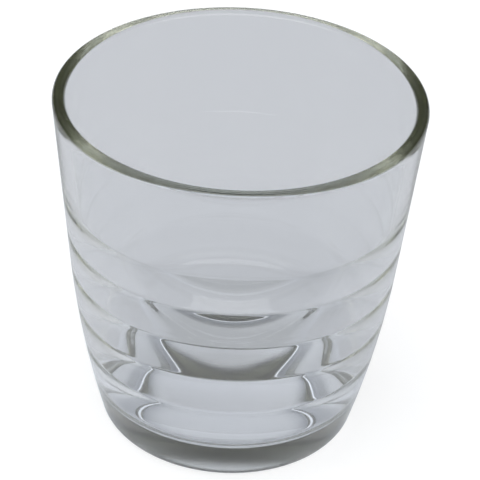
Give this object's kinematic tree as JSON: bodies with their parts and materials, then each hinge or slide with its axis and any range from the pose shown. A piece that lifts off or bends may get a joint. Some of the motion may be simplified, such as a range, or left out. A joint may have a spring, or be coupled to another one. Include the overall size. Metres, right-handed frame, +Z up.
{
  "type": "chai glass",
  "caption": "Clear pressed-glass tea tumbler, tapered and smooth outside with soft rings inside, a thick base, a rounded heel and a narrow ring to stand on.",
  "frame": {"origin": "on the glass's axis, in the plane that it stands on", "axes": "+Z is up along the glass's axis, towards the mouth; +X is to the right and -Y towards the camera in the picture"},
  "size_m": [0.08, 0.08, 0.0818],
  "materials": {
    "clear_glass": "clear, smooth, fire-polished soda-lime glass, slightly matt on the underside"
  },
  "bodies": {
    "root": {"tumbler": "clear_glass"}
  },
  "joints": []
}
